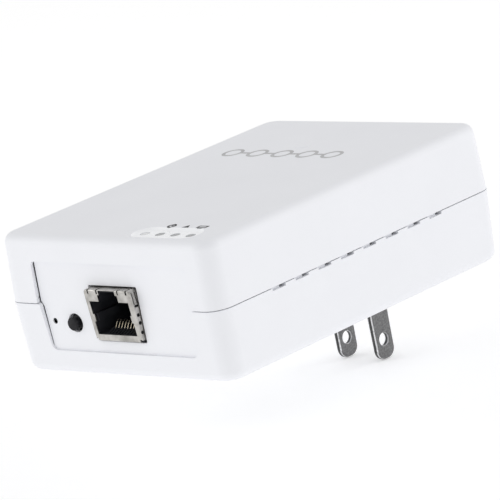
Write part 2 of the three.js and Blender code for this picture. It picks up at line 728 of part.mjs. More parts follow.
// A can with a rolled lower edge and a soft shoulder.
function electrolytic(radius, height) {
  const edge = 0.4;
  const grooveDepth = 0.35;
  const groove = 1.9;
  const shoulder = 0.6;
  return turned([
    [0, 0],
    [radius - edge, 0],
    [radius, edge],
    [radius, groove - edge],
    [radius - grooveDepth, groove],
    [radius, groove + edge],
    [radius, height - shoulder],
    [radius - shoulder, height],
    [0, height],
  ]);
}

// A coated disc on edge, facing +Y, its lowest point at z = 0.
function disc(radius, thickness) {
  const profile = [
    [0, 0], [radius - 1, 0], [radius - 0.2, 0.3 * thickness], [radius, thickness / 2],
    [radius - 0.2, 0.7 * thickness], [radius - 1, thickness], [0, thickness],
  ];
  return turned(profile).rotateX(Math.PI / 2).translate(0, thickness / 2, radius);
}

// A ring standing on its edge, centred on y = 0.
function ring(outer, inner, width) {
  const shape = new THREE.Shape().absarc(0, 0, outer, 0, 2 * Math.PI);
  shape.holes.push(new THREE.Path().absarc(0, 0, inner, 0, 2 * Math.PI));
  return extrudeUp(shape, width, 8).rotateX(Math.PI / 2).translate(0, width / 2, outer);
}

const CHOKE = { outer: 6.5, inner: 3.6, width: 5, wire: 0.9 };

// Wire wound round one side of the choke's ring.
function chokeWinding(side) {
  const { wire } = CHOKE;
  const cover = solid(ring(CHOKE.outer + wire, CHOKE.inner - wire, CHOKE.width + 2 * wire));
  const core = ring(CHOKE.outer + SEAT, CHOKE.inner - SEAT, CHOKE.width + 2 * SEAT)
    .translate(0, 0, wire - SEAT);
  const far = 2 * CHOKE.outer;
  const otherSide = boxBetween([side > 0 ? -far : -1, -far, -1], [side > 0 ? 1 : far, far, 3 * far]);
  return cut(cover, [core, otherSide]);
}

const TRANSFORMER = { width: 17, height: 15, depth: 5, leg: 2.5, centre: 4, yoke: 2.75, overhang: 3.7 };

function transformerCore() {
  const { width, height, depth, leg, centre, yoke } = TRANSFORMER;
  const block = new THREE.BoxGeometry(width, depth, height).translate(0, 0, height / 2);
  const windowWidth = (width - 2 * leg - centre) / 2;
  const windows = [-1, 1].map((side) => new THREE.BoxGeometry(windowWidth, 2 * depth, height - 2 * yoke)
    .translate((side * (centre + windowWidth)) / 2, 0, height / 2));
  return cut(solid(block), windows);
}

function transformerWinding() {
  const { width, height, depth, leg, centre, yoke, overhang } = TRANSFORMER;
  const tall = height - 2 * yoke - 2 * GAP;
  const outline = roundedRectangle(width - 2 * leg - 2 * GAP, depth + 2 * overhang, 1.5);
  const hole = new THREE.BoxGeometry(centre + 2 * GAP, depth + 2 * GAP, 3 * tall);
  return cut(solid(extrudeSoft(outline, tall, 0.4)), [hole]).translate(0, 0, yoke + GAP);
}

const HEAT_SINK = { fins: 7, pitch: 3, fin: 1, base: 2, height: 8 };

// A square block with straight fins along Y.
function heatSink() {
  const { fins, pitch, fin, base, height } = HEAT_SINK;
  const half = ((fins - 1) * pitch + fin) / 2;
  const points = [[-half, 0], [half, 0]];
  for (let i = fins - 1; i >= 0; i -= 1) {
    const left = -half + i * pitch;
    points.push([left + fin, height], [left, height]);
    if (i > 0) points.push([left, base], [left - pitch + fin, base]);
  }
  const comb = new THREE.Shape(points.map(([x, z]) => new THREE.Vector2(x, z)));
  return extrudeBack(comb, 2 * half).translate(0, -half, 0);
}

const BASE_HEIGHT = 2.2;
const MODEM = { x: -1, y: MIDDLE - 8, size: 14, height: 1.2, pad: 13, padThickness: 0.5 };

// The parts on the board: name, shape, finish, and place in X and from the middle in Y.
function boardParts() {
  return [
    ['fuse', turned([[0, 0], [4.1, 0], [4.1, 7.4], [3.6, 8], [0, 8]]), plasticBlack, -21, 36],
    ['varistor', disc(5, 4.2), epoxyBlue, -9, 38],
    ['x_capacitor', extrudeSoft(rectangle(18, 7), 12.5, 0.5, 2), filmYellow, 8, 38],
    ['bridge_rectifier', chip(8.4, 6.4, 2.6), plasticBlack, 24, 19],
    ['bulk_capacitor', electrolytic(5, 17), plasticBlack, -23, 20],
    ['transformer_base', extrudeSoft(rectangle(18, 14), BASE_HEIGHT, 0.2, 2), plasticBlack, 0, 14],
    ['y_capacitor', disc(4, 3.4), epoxyBlue, 14.5, 6],
    ['optocoupler', chip(4.6, 6.4, 3.5), plasticBlack, -13, 5],
    ['supply_chip', chip(5, 4, 1.6), plasticBlack, 14, 20],
    ['output_capacitor', electrolytic(4, 12), plasticBlack, -25, 3],
    ['coupling_transformer', extrudeSoft(rectangle(11, 11), 9, 0.3, 2), ferrite, 25, -6],
    ['coupling_capacitor', extrudeSoft(rectangle(10, 4.4), 9, 0.4, 2), filmYellow, 25, 6],
    ['memory_chip', chip(10.2, 22.2, 1.1), plasticBlack, -20, -16],
    ['ethernet_magnetics', extrudeSoft(rectangle(13, 9.4), 5.8, 0.3, 2), plasticBlack, JACK_X, -25],
    ['ethernet_chip', chip(7, 7, 0.9), plasticBlack, 15, -21.5],
    ['crystal', extrudeSoft(roundedRectangle(11, 4.6, 2.2), 3.6, 0.3), aluminium, 14.5, -14.5],
  ];
}

// The modem chip with its pad and heat sink stacked on it.
function modem() {
  const { size, height, pad, padThickness } = MODEM;
  const stack = new THREE.Group();
  stack.position.set(MODEM.x, MODEM.y, SEAT);
  place(stack, 'powerline_chip', chip(size, size, height), plasticBlack);
  place(stack, 'thermal_pad', extrudeUp(rectangle(pad, pad), padThickness), silicone, [0, 0, height + SEAT]);
  place(stack, 'heat_sink', heatSink(), aluminium, [0, 0, height + padThickness + 2 * SEAT]);
  return stack;
}

function transformer() {
  const group = new THREE.Group();
  group.position.set(0, MIDDLE + 14, BASE_HEIGHT + 2 * SEAT);
  place(group, 'transformer_core', geometryOf(transformerCore()), ferrite);
  place(group, 'transformer_winding', geometryOf(transformerWinding()), tapeYellow);
  return group;
}

function mainsChoke() {
  const choke = new THREE.Group();
  choke.position.set(24.5, MIDDLE + 31, SEAT);
  place(choke, 'choke_core', ring(CHOKE.outer, CHOKE.inner, CHOKE.width), ferrite, [0, 0, CHOKE.wire]);
  place(choke, 'choke_winding_left', geometryOf(chokeWinding(-1)), copper);
  place(choke, 'choke_winding_right', geometryOf(chokeWinding(1)), copper);
  return choke;
}

function circuitBoard() {
  const group = new THREE.Group();
  group.position.z = BOARD_TOP;
  place(group, 'main_board', geometryOf(mainBoard()), laminate);
  boardParts().forEach(([name, geometry, finish, x, fromMiddle]) => {
    place(group, name, geometry, finish, [x, MIDDLE + fromMiddle, SEAT]);
  });
  group.add(modem());
  group.add(transformer());
  group.add(mainsChoke());
  for (let i = 0; i < LIGHT_COUNT; i += 1) {
    place(group, `status_led_${i + 1}`, chip(1.6, 2.4, 1), plasticClear, [lightX(i), LIGHT_SOURCE_Y, SEAT]);
  }
  return group;
}

// ---- Assembly ----------------------------------------------------------------------------------

function housing() {
  const group = new THREE.Group();
  place(group, 'top_cover', geometryOf(topCover()), plasticWhite);
  place(group, 'bottom_cover', geometryOf(bottomCover()), plasticWhite);
  place(group, 'port_panel', geometryOf(portPanel()), plasticWhite, [0, FRONT + PANEL_DEPTH, 0]);
  place(group, 'light_guide', geometryOf(lightGuide()), plasticClear);
  const screwHead = SCREW_SEAT - SCREW_HEAD_HEIGHT - 2 * SEAT;
  screwPlaces().forEach(([x, y], i) => {
    place(group, `cover_screw_${i + 1}`, coverScrew(), zinc, [x, y, screwHead]);
  });
  const label = extrudeUp(roundedRectangle(LABEL.width, LABEL.length, LABEL.corner), LABEL.thickness);
  place(group, 'rating_label', label, paper, [0, LABEL.y, UNDERSIDE - LABEL.thickness - SEAT]);
  return group;
}

const adapter = new THREE.Group();
adapter.add(housing());
adapter.add(plug());
adapter.add(circuitBoard());
adapter.add(networkSocket());
adapter.add(pushSwitch('pair', 'pair_button', PAIR_X, pairSizes));
adapter.add(pushSwitch('reset', 'reset_button', RESET_X, resetSizes));

export default adapter;
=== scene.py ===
import json
import math

import bmesh
import bpy
from mathutils import Matrix, Vector


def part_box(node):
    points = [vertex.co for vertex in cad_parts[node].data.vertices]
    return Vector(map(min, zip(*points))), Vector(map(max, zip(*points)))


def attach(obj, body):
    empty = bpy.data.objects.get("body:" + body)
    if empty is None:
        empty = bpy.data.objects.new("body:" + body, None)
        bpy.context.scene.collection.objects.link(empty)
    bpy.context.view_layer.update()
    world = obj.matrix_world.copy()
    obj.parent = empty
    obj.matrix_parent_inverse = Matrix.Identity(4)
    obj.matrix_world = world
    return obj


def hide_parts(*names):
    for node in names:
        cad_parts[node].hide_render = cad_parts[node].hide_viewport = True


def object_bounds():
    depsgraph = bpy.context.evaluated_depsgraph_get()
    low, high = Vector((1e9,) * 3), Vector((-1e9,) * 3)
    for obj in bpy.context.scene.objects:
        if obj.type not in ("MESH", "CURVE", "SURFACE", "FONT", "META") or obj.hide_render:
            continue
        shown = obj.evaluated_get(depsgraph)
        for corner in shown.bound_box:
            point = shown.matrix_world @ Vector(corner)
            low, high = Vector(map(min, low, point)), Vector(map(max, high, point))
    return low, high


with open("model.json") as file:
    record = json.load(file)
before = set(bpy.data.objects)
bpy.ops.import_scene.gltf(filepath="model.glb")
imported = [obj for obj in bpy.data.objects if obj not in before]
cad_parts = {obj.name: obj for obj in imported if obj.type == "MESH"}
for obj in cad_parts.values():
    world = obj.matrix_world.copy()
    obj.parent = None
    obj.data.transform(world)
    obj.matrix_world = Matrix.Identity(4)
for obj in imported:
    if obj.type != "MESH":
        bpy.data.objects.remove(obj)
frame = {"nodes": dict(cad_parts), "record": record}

CAD_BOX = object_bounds()

# Shapes are worked out in millimetres and turned into metres when a piece is finished.
MM = 0.001


def box_mm(node):
    low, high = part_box(node)
    return low / MM, high / MM


# ---- Places read from the frame -----------------------------------------------------------------

HOUSING_LOW, HOUSING_HIGH = box_mm("bottom_cover")
TOP = box_mm("top_cover")[1].z
UNDERSIDE = box_mm("rating_label")[1].z + 0.1
FRONT, REAR = HOUSING_LOW.y, HOUSING_HIGH.y
MIDDLE = (FRONT + REAR) / 2
HALF_WIDTH = HOUSING_HIGH.x
HALF_LENGTH = (REAR - FRONT) / 2
BOTTOM_COVER_HEIGHT = 18
SPLIT = UNDERSIDE + BOTTOM_COVER_HEIGHT
JACK_LOW, JACK_HIGH = box_mm("jack_shield")
PANEL_FACE = box_mm("port_panel")[0].y
LENS_Y = MIDDLE - 42.7

# ---- Housing ------------------------------------------------------------------------------------

WALL = 2.0
# How far the sides and the ends lean in between the parting line and the face
TOP_DRAFT = (0.35, 0.5)
BOTTOM_DRAFT = (0.65, 0.85)
PLAN_CORNER = 5.0
SMALLEST_CORNER = 0.6
EDGE_FILLET = 2.4
INNER_FILLET = 0.8
SPLIT_GAP = 0.22
UPPER_INSET = 0.04
LIP_INSET = 1.0
LIP_RISE = 1.2
LIP_SIDE_GAP = 0.2
LIP_TOP_GAP = 0.3
CORNER_STEPS = 14
FILLET_STEPS = 8

# The port panel's opening, a little to the right of the housing's middle
PANEL_X = 1.05
PANEL_HALF_BOTTOM = 25.1
PANEL_HALF_BELOW = 25.85
PANEL_HALF_ABOVE = 26.65
PANEL_HALF_TOP = 26.4
PANEL_BOTTOM = UNDERSIDE + 6.1
PANEL_TOP = UNDERSIDE + 28.7
PANEL_RIM_CORNER = 0.8
PANEL_UPPER_CORNER = 1.1
PANEL_LOWER_CORNER = 1.9
PANEL_POCKET_GROWTH = 1.2
PANEL_OVERLAP = 0.9
BUTTON_HOLE_RADIUS = 2.35
PIN_HOLE_RADIUS = 0.75
PIN_RELIEF_RADIUS = 2.0
PIN_RELIEF_DEPTH = 0.4

VENT_COUNT = 8
VENT_PITCH = 8.156
VENT_LENGTH = 4.6
VENT_HEIGHT = 0.74
VENT_FIRST = MIDDLE - 29.35
VENT_HOLE = 1.3

LIGHT_COUNT = 4
LENS_RADIUS = 1.2
LENS_GAP = 0.08
LENS_LENGTH = 2.4
LENS_RIM = 0.12
RECESS_LEFT = 6.5
RECESS_RIGHT = 28.2
RECESS_RADIUS = 3.95
RECESS_Y = MIDDLE - 43.45
RECESS_DEPTH = 0.7
# The radius of the curve from the dish's floor up to the cover's face
RECESS_COVE = 1.64

# The head's share of the button's radius, and how far right of the CAD's button it stands
BUTTON_HEAD = 0.96
BUTTON_SHIFT = 0.45

PEDESTAL_WIDTH = 30.0
PEDESTAL_LENGTH = 22.0
PEDESTAL_CORNER = 4.0
PEDESTAL_WALL = 2
PEDESTAL_FLOOR = 2.5

SCREW_COUNT = 4
BOSS_RADIUS = 4
BOSS_HEIGHT = 7.6
WELL_RADIUS = 2.8
WELL_DEPTH = 4.2

BLADE_HALF_WIDTH = 3.175
BLADE_TIP_RADIUS = 2.6
BLADE_HOLE_Z = -11.65
BLADE_HOLE_RADIUS = 1.6
BLADE_SLOT_WIDTH = 1.8
BLADE_SLOT_LENGTH = 6.65


# ---- Mesh helpers (millimetres) -----------------------------------------------------------------

def object_from(bm, name):
    mesh = bpy.data.meshes.new(name)
    bmesh.ops.recalc_face_normals(bm, faces=bm.faces)
    bm.to_mesh(mesh)
    bm.free()
    obj = bpy.data.objects.new(name, mesh)
    bpy.context.scene.collection.objects.link(obj)
    return obj


def skin_rings(bm, rings):
    """Joins rings of equal length into one closed skin, capped at both ends."""
    rows = [[bm.verts.new(point) for point in ring] for ring in rings]
    count = len(rows[0])
    for low, high in zip(rows, rows[1:]):
        for i in range(count):
            j = (i + 1) % count
            bm.faces.new((low[i], low[j], high[j], high[i]))
    bm.faces.new(reversed(rows[0]))
    bm.faces.new(rows[-1])


def loft(name, rings):
    bm = bmesh.new()
    skin_rings(bm, rings)
    return object_from(bm, name)


def arc(cx, cy, radius, start, end, steps):
    """Points of an arc; angles in degrees."""
    angles = [math.radians(start + (end - start) * i / steps) for i in range(steps + 1)]
    return [(cx + radius * math.cos(a), cy + radius * math.sin(a)) for a in angles]


def rounded_rectangle(cx, cy, width, height, radius, steps=6):
    x, y = width / 2 - radius, height / 2 - radius
    points = []
    for sx, sy, start in ((1, 1, 0), (-1, 1, 90), (-1, -1, 180), (1, -1, 270)):
        points += arc(cx + sx * x, cy + sy * y, radius, start, start + 90, steps)
    return points


def circle(cx, cy, radius, steps=32):
    return arc(cx, cy, radius, 0, 360 - 360 / steps, steps - 1)


TURNS = {
    "z": lambda u, v, w: (u, v, w),
    "y": lambda u, v, w: (u, w, v),
    "x": lambda u, v, w: (w, u, v),
}


def prism(name, outline, low, high, axis="z"):
    """A straight block on an outline. Along z the outline is in x and y, along y in x and z,
    along x in y and z."""
    turn = TURNS[axis]
    return loft(name, [[turn(u, v, w) for u, v in outline] for w in (low, high)])


def block(name, low, high):
    outline = [(low[0], low[1]), (high[0], low[1]), (high[0], high[1]), (low[0], high[1])]
    return prism(name, outline, low[2], high[2])


def turned(name, profile, steps=48, axis="z"):
    """A round piece from (radius, height) pairs that start and end on the axis."""
    turn = TURNS[axis]
    rings = []
    for radius, height in profile:
        safe = max(radius, 1e-4)
        rings.append([turn(u, v, height) for u, v in circle(0, 0, safe, steps)])
    return loft(name, rings)


def joined(name, objects):
    """One object of separate islands."""
    bm = bmesh.new()
    for obj in objects:
        obj.data.transform(obj.matrix_basis)
        bm.from_mesh(obj.data)
        bpy.data.objects.remove(obj)
    return object_from(bm, name)


def combine(base, other, operation="DIFFERENCE"):
    """A boolean whose result replaces the base's mesh; the other object is used up."""
    modifier = base.modifiers.new("combine", "BOOLEAN")
    modifier.object = other
    modifier.operation = operation
    modifier.solver = "EXACT"
    graph = bpy.context.evaluated_depsgraph_get()
    result = bpy.data.meshes.new_from_object(base.evaluated_get(graph))
    base.modifiers.clear()
    base.data = result
    bpy.data.objects.remove(other)
    return base


def round_edges(obj, width, steps=3, angle=35, where=None):
    """Rolls the sharp edges off, all of them or those whose middle passes the test."""
    bm = bmesh.new()
    bm.from_mesh(obj.data)
    bmesh.ops.remove_doubles(bm, verts=bm.verts, dist=1e-4)
    bmesh.ops.dissolve_limit(bm, angle_limit=math.radians(0.05), verts=bm.verts, edges=bm.edges)
    limit = math.radians(angle)
    chosen = []
    for edge in bm.edges:
        if len(edge.link_faces) != 2 or edge.calc_face_angle(0) < limit:
            continue
        middle = (edge.verts[0].co + edge.verts[1].co) / 2
        if where is None or where(middle, edge):
            chosen.append(edge)
    bmesh.ops.bevel(
        bm, geom=chosen, offset=width, offset_type="OFFSET", segments=steps, profile=0.5,
        affect="EDGES", clamp_overlap=True, miter_outer="ARC", loop_slide=True,
    )
    bmesh.ops.remove_doubles(bm, verts=bm.verts, dist=1e-5)
    bm.to_mesh(obj.data)
    bm.free()
    return obj


def finish_piece(obj, name, material, body="adapter", nodes=(), smooth=40):
    """Scales to metres, shades, and hands the piece to its body."""
    obj.name = name
    obj.data.name = name
    obj.data.transform(Matrix.Scale(MM, 4))
    obj.data.materials.clear()
    obj.data.materials.append(material)
    obj.data.shade_smooth()
    obj.data.set_sharp_from_angle(angle=math.radians(smooth))
    weighted = obj.modifiers.new("weighted", "WEIGHTED_NORMAL")
    weighted.keep_sharp = True
    weighted.mode = "FACE_AREA"
    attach(obj, body)
    if nodes:
        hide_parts(*nodes)
    return obj


# ---- Materials ----------------------------------------------------------------------------------

def new_material(name):
    material = bpy.data.materials.new(name)
    material.use_nodes = True
    tree = material.node_tree
    tree.nodes.clear()
    output = tree.nodes.new("ShaderNodeOutputMaterial")
    shader = tree.nodes.new("ShaderNodeBsdfPrincipled")
    tree.links.new(shader.outputs["BSDF"], output.inputs["Surface"])
    return material, tree, shader


def object_noise(tree, scale, detail=2.0, stretch=(1, 1, 1)):
    coordinates = tree.nodes.new("ShaderNodeTexCoord")
    mapping = tree.nodes.new("ShaderNodeMapping")
    mapping.inputs["Scale"].default_value = stretch
    noise = tree.nodes.new("ShaderNodeTexNoise")
    noise.inputs["Scale"].default_value = scale
    noise.inputs["Detail"].default_value = detail
    tree.links.new(coordinates.outputs["Object"], mapping.inputs["Vector"])
    tree.links.new(mapping.outputs["Vector"], noise.inputs["Vector"])
    return noise


def ramp_between(tree, source, first, second, low=0.35, high=0.65):
    ramp = tree.nodes.new("ShaderNodeValToRGB")
    ramp.color_ramp.elements[0].position = low
    ramp.color_ramp.elements[0].color = (*first, 1)
    ramp.color_ramp.elements[1].position = high
    ramp.color_ramp.elements[1].color = (*second, 1)
    tree.links.new(source, ramp.inputs["Fac"])
    return ramp.outputs["Color"]


def spread(tree, source, low, high):
    remap = tree.nodes.new("ShaderNodeMapRange")
    remap.inputs["To Min"].default_value = low
    remap.inputs["To Max"].default_value = high
    tree.links.new(source, remap.inputs["Value"])
    return remap.outputs["Result"]


def surface(name, first, second, roughness, grain=0.15, bump=0.01, tone=4.0, metallic=0.0,
            stretch=(1, 1, 1), coat=0.0, specular=0.5, subsurface=0.0):
    """A moulded, plated or coated surface: two close tones in broad patches, a fine grain of the
    given size in mm that shapes the bump, and a roughness that wanders with it."""
    material, tree, shader = new_material(name)
    patches = object_noise(tree, 1 / (tone * MM), 3.0)
    fine = object_noise(tree, 1 / (grain * MM), 2.0, stretch)
    tree.links.new(ramp_between(tree, patches.outputs["Fac"], first, second), shader.inputs["Base Color"])
    rough = spread(tree, fine.outputs["Fac"], roughness - 0.05, roughness + 0.07)
    tree.links.new(rough, shader.inputs["Roughness"])
    bumps = tree.nodes.new("ShaderNodeBump")
    bumps.inputs["Strength"].default_value = 0.5
    bumps.inputs["Distance"].default_value = bump * MM
    tree.links.new(fine.outputs["Fac"], bumps.inputs["Height"])
    tree.links.new(bumps.outputs["Normal"], shader.inputs["Normal"])
    shader.inputs["Metallic"].default_value = metallic
    shader.inputs["Coat Weight"].default_value = coat
    shader.inputs["Specular IOR Level"].default_value = specular
    if subsurface:
        shader.inputs["Subsurface Weight"].default_value = subsurface
        shader.inputs["Subsurface Radius"].default_value = (1, 0.9, 0.8)
        shader.inputs["Subsurface Scale"].default_value = 0.8 * MM
    return material


WHITE_TONES = (0.9, 0.909, 0.945), (0.912, 0.921, 0.957)
# Emission strength on the light dish: painted light, the dish is no lamp
RECESS_PAINTED_GLOW = 0.08

WHITE = surface("white_shell", *WHITE_TONES, 0.42, grain=0.12, bump=0.006, tone=18)
WHITE_PANEL = surface("white_panel", *WHITE_TONES, 0.36, grain=0.16, bump=0.004, tone=15)
BLACK = surface("black_moulding", (0.016, 0.017, 0.021), (0.026, 0.027, 0.032), 0.55,
                grain=0.1, bump=0.006, tone=3, specular=0.25)
BUTTON = surface("button_black", (0.008, 0.008, 0.01), (0.014, 0.014, 0.017), 0.55,
                 grain=0.12, bump=0.006, tone=2, specular=0.25)
SHIELD = surface("tinned_sheet", (0.36, 0.35, 0.33), (0.58, 0.565, 0.54), 0.3,
                 grain=0.2, bump=0.006, tone=2.6, metallic=1.0, stretch=(1, 1, 0.25))
GOLD = surface("contact_gold", (0.74, 0.64, 0.46), (0.88, 0.8, 0.64), 0.22,
               grain=0.1, bump=0.003, tone=1, metallic=1.0)
ZINC = surface("screw_zinc", (0.5, 0.51, 0.5), (0.66, 0.67, 0.66), 0.36,
               grain=0.12, bump=0.01, tone=1, metallic=1.0)
INK = surface("grey_ink", (0.48, 0.48, 0.49), (0.55, 0.55, 0.56), 0.5,
              grain=0.08, bump=0.002, tone=2)
DARK_INK = surface("dark_ink", (0.03, 0.03, 0.033), (0.05, 0.05, 0.054), 0.5,
                   grain=0.08, bump=0.002, tone=1)
LABEL = surface("label_film", (0.7, 0.71, 0.72), (0.76, 0.765, 0.77), 0.5,
                grain=0.3, bump=0.004, tone=6)
LENS_OFF = surface("lens_smoke", (0.24, 0.25, 0.25), (0.34, 0.35, 0.35), 0.22,
                   grain=0.2, bump=0.003, tone=1, coat=0.5)
LENS_WHITE = surface("lens_white", (0.74, 0.75, 0.76), (0.82, 0.83, 0.84), 0.2,
                     grain=0.2, bump=0.003, tone=1, coat=0.5)


def recess_painted_glow_material():
    """The clearer white of the dish round the lights, with a slight emission: painted glow, though the dish
    is no lamp.
    """
    material = surface("recess_white_painted_glow", (0.93, 0.94, 0.96), (0.94, 0.95, 0.97), 0.3,
                       grain=0.12, bump=0.003, tone=18)
    shader = material.node_tree.nodes["Principled BSDF"]
    shader.inputs["Emission Color"].default_value = (1, 1, 1, 1)
    shader.inputs["Emission Strength"].default_value = RECESS_PAINTED_GLOW
    return material


RECESS_PAINTED_GLOW_WHITE = recess_painted_glow_material()


def blade_painted_light_material():
    """Dull mottled nickel with painted light and shade. The tone follows how far the surface faces
    sideways: painted shade on the narrow edges, a painted highlight on the chamfers, mid grey on the
    flat sides."""
    material, tree, shader = new_material("blade_nickel")
    patches = object_noise(tree, 1 / (0.5 * MM), 5.0)
    grain = object_noise(tree, 1 / (0.14 * MM), 3.0, (1, 1, 0.35))
    coordinates = tree.nodes.new("ShaderNodeTexCoord")
    parts = tree.nodes.new("ShaderNodeSeparateXYZ")
    tree.links.new(coordinates.outputs["Normal"], parts.inputs["Vector"])
    across = tree.nodes.new("ShaderNodeMath")
    across.operation = "ABSOLUTE"
    tree.links.new(parts.outputs["X"], across.inputs[0])
    # Painted shade and painted highlight: the colour follows which way the face points
    tone = tree.nodes.new("ShaderNodeValToRGB")
    painted_light_levels = ((0.12, 0.09), (0.3, 0.95), (0.88, 0.95), (0.96, 0.24))
    while len(tone.color_ramp.elements) < len(painted_light_levels):
        tone.color_ramp.elements.new(0.5)
    for element, (position, level) in zip(tone.color_ramp.elements, painted_light_levels):
        element.position = position
        element.color = (level, level, level * 1.01, 1)
    tree.links.new(across.outputs["Value"], tone.inputs["Fac"])
    mottle = ramp_between(tree, patches.outputs["Fac"], (0.55, 0.55, 0.55), (1.0, 1.0, 1.0), 0.3, 0.7)
    blend = tree.nodes.new("ShaderNodeMix")
    blend.data_type = "RGBA"
    blend.blend_type = "MULTIPLY"
    blend.inputs["Factor"].default_value = 1.0
    tree.links.new(tone.outputs["Color"], blend.inputs[6])
    tree.links.new(mottle, blend.inputs[7])
    tree.links.new(blend.outputs[2], shader.inputs["Base Color"])
    tree.links.new(spread(tree, grain.outputs["Fac"], 0.3, 0.5), shader.inputs["Roughness"])
    bumps = tree.nodes.new("ShaderNodeBump")
    bumps.inputs["Strength"].default_value = 0.6
    bumps.inputs["Distance"].default_value = 0.012 * MM
    tree.links.new(grain.outputs["Fac"], bumps.inputs["Height"])
    tree.links.new(bumps.outputs["Normal"], shader.inputs["Normal"])
    shader.inputs["Metallic"].default_value = 1.0
    return material


NICKEL_PAINTED_LIGHT = blade_painted_light_material()


# ---- Housing covers -----------------------------------------------------------------------------

def housing_ring(inset, z, draft_face):
    """The housing's outline at a height, pulled in by the draft towards draft_face and by inset."""
    reach = max((z - SPLIT) / (draft_face - SPLIT), 0)
    side, end = TOP_DRAFT if draft_face > SPLIT else BOTTOM_DRAFT
    half_x = HALF_WIDTH - side * reach - inset
    half_y = HALF_LENGTH - end * reach - inset
    radius = max(PLAN_CORNER - inset, SMALLEST_CORNER)
    outline = rounded_rectangle(0, MIDDLE, 2 * half_x, 2 * half_y, radius, CORNER_STEPS)
    return [(x, y, z) for x, y in outline]


def fillet_rings(inset, face, side, radius):
    """Rings that roll from the wall over to the flat face; side is 1 for the top, -1 below."""
    rings = []
    for i in range(FILLET_STEPS + 1):
        angle = math.radians(90 * i / FILLET_STEPS)
        z = face - side * radius * (1 - math.sin(angle))
        rings.append(housing_ring(inset + radius * (1 - math.cos(angle)), z, face))
    return rings


def cover_rings(side, face, outer, rim):
    """A cover from the middle of its inside, round the rim, to the middle of its outside."""
    inside = fillet_rings(WALL, face - side * WALL, side, INNER_FILLET)
    skin = fillet_rings(outer, face, side, EDGE_FILLET)
    return list(reversed(inside)) + rim + skin


def mirrored(right):
    """A closed outline from its right half, bottom to top, about the panel's middle."""
    left = [(-x, z) for x, z in reversed(right)]
    return [(PANEL_X + x, z) for x, z in right + left]


def upper_opening(grow):
    below = (PANEL_HALF_ABOVE + grow, SPLIT - 4)
    rim = (PANEL_HALF_ABOVE + grow, SPLIT)
    x, z, r = PANEL_HALF_TOP + grow, PANEL_TOP + grow, PANEL_UPPER_CORNER
    return mirrored([below, rim] + arc(x - r, z - r, r, 0, 90, 6))


def lower_opening(grow):
    """Narrower than the upper one, with a round corner where the rim meets the parting line."""
    x, z, r = PANEL_HALF_BOTTOM + grow, PANEL_BOTTOM - grow, PANEL_LOWER_CORNER
    rim = PANEL_RIM_CORNER
    corner = arc(PANEL_HALF_BELOW + grow + rim, SPLIT - rim, rim, 180, 90, 6)
    above = (PANEL_HALF_BELOW + grow + rim, SPLIT + 4)
    return mirrored(arc(x - r, z + r, r, -90, 0, 6) + corner + [above])


def cut_panel_opening(cover, opening):
    """The opening in the front wall, and the wider pocket behind it for the panel."""
    combine(cover, prism("opening", opening(0.0), FRONT - 3, FRONT + 4, "y"))
    combine(cover, prism("pocket", opening(PANEL_POCKET_GROWTH), PANEL_FACE - 0.02, FRONT + 6, "y"))


def lens_x(index):
    low, high = box_mm("light_guide")
    return low.x + LENS_RADIUS + index * (high.x - low.x - 2 * LENS_RADIUS) / (LIGHT_COUNT - 1)


def screw_places():
    places = []
    for i in range(SCREW_COUNT):
        low, high = box_mm(f"cover_screw_{i + 1}")
        places.append(((low.x + high.x) / 2, (low.y + high.y) / 2))
    return places


def recess_cutter():
    """The shallow dish round the status lights: a flat floor that curves up all round."""
    middle = (RECESS_LEFT + RECESS_RIGHT) / 2
    steepest = math.acos(1 - RECESS_DEPTH / RECESS_COVE)
    rings = []
    for i in range(9):
        angle = steepest * i / 8
        inset = RECESS_COVE * (math.sin(steepest) - math.sin(angle))
        z = TOP - RECESS_DEPTH + RECESS_COVE * (1 - math.cos(angle))
        width, height = RECESS_RIGHT - RECESS_LEFT - 2 * inset, 2 * (RECESS_RADIUS - inset)
        outline = rounded_rectangle(middle, RECESS_Y, width, height, height / 2 - 0.001, 12)
        rings.append([(x, y, z) for x, y in outline])
    rings.append([(x, y, z + 2) for x, y, z in rings[-1]])
    return loft("recess", rings)


def paint_recess_glow(cover):
    """The dish round the lights gets the clearer white with its painted glow, so it reads brighter than the
    rest of the cover.
    """
    # Second slot: the clearer white with painted glow, given to the dish faces
    cover.data.materials.append(RECESS_PAINTED_GLOW_WHITE)
    for face in cover.data.polygons:
        x, y, z = face.center / MM
        inside = RECESS_LEFT < x < RECESS_RIGHT and abs(y - RECESS_Y) < RECESS_RADIUS
        if inside and TOP - RECESS_DEPTH - 0.1 < z < TOP - 0.02:
            face.material_index = 1


def build_top_cover():
    bottom = SPLIT + SPLIT_GAP / 2
    rebate_top = SPLIT + LIP_RISE + LIP_TOP_GAP
    rebate = LIP_INSET - LIP_SIDE_GAP
    rim = [
        housing_ring(WALL, rebate_top, TOP),
        housing_ring(rebate, rebate_top, TOP),
        housing_ring(rebate, bottom, TOP),
        housing_ring(UPPER_INSET, bottom, TOP),
    ]
    cover = loft("top_cover_skin", cover_rings(1, TOP, UPPER_INSET, rim))
    cut_panel_opening(cover, upper_opening)
    combine(cover, recess_cutter())
    holes = []
    for i in range(LIGHT_COUNT):
        holes.append(prism("hole", circle(lens_x(i), LENS_Y, LENS_RADIUS + LENS_GAP), TOP - 4, TOP + 2))
    combine(cover, joined("holes", holes))
    round_edges(cover, 0.2, 2)
    finish_piece(cover, "top_shell", WHITE, nodes=["top_cover"])
    paint_recess_glow(cover)


